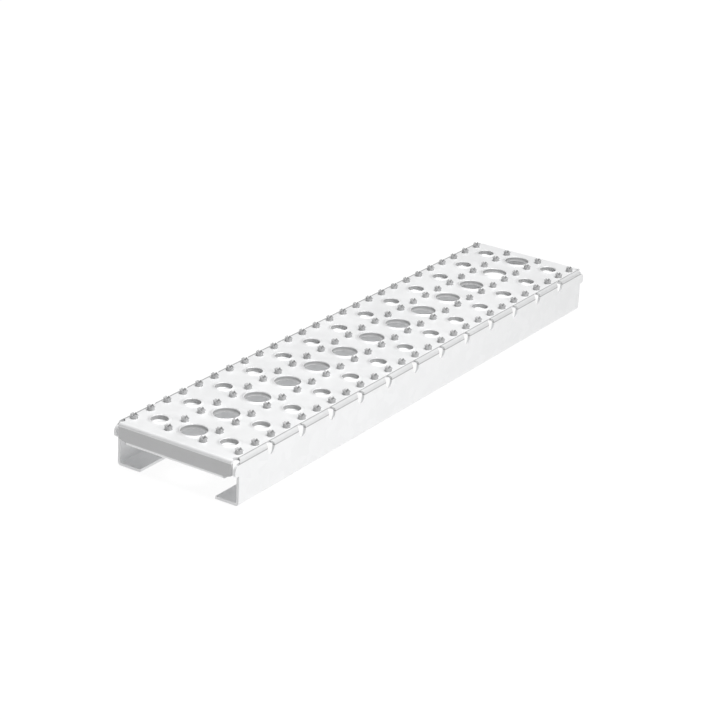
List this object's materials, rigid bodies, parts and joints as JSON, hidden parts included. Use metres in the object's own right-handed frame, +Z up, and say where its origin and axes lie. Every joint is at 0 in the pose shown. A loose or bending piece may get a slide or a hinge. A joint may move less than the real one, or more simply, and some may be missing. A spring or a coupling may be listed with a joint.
{
  "type": "scaffold plank",
  "caption": "Folded sheet-metal scaffold plank: a channel with inturned feet, turned-down ends, drain holes, pressed cups and rows of toothed grip crowns.",
  "frame": {"origin": "on the floor under the middle of the plank, in the plane of the two feet", "axes": "+X along the plank, +Y across it towards its left side wall, +Z up out of the walking surface"},
  "size_m": [0.7, 0.15, 0.055],
  "materials": {
    "sheet": "satin zinc-coated sheet",
    "pressed_rims": "satin, slightly polished by pressing",
    "crowns": "torn edges, darker bare metal"
  },
  "bodies": {
    "root": {"deck_plate": "sheet", "long_fold_left": "sheet", "long_fold_right": "sheet", "side_wall_left": "sheet", "side_wall_right": "sheet", "foot_fold_left": "sheet", "foot_fold_right": "sheet", "foot_left": "sheet", "foot_right": "sheet", "end_fold_front": "sheet", "end_fold_back": "sheet", "end_flap_front": "sheet", "end_flap_back": "sheet", "end_hem_front": "sheet", "end_hem_back": "sheet", "large_rims": "pressed_rims", "cups_left": "pressed_rims", "cups_right": "pressed_rims", "crowns_outer_left": "crowns", "crowns_inner_left": "crowns", "crowns_inner_right": "crowns", "crowns_outer_right": "crowns"}
  },
  "joints": []
}
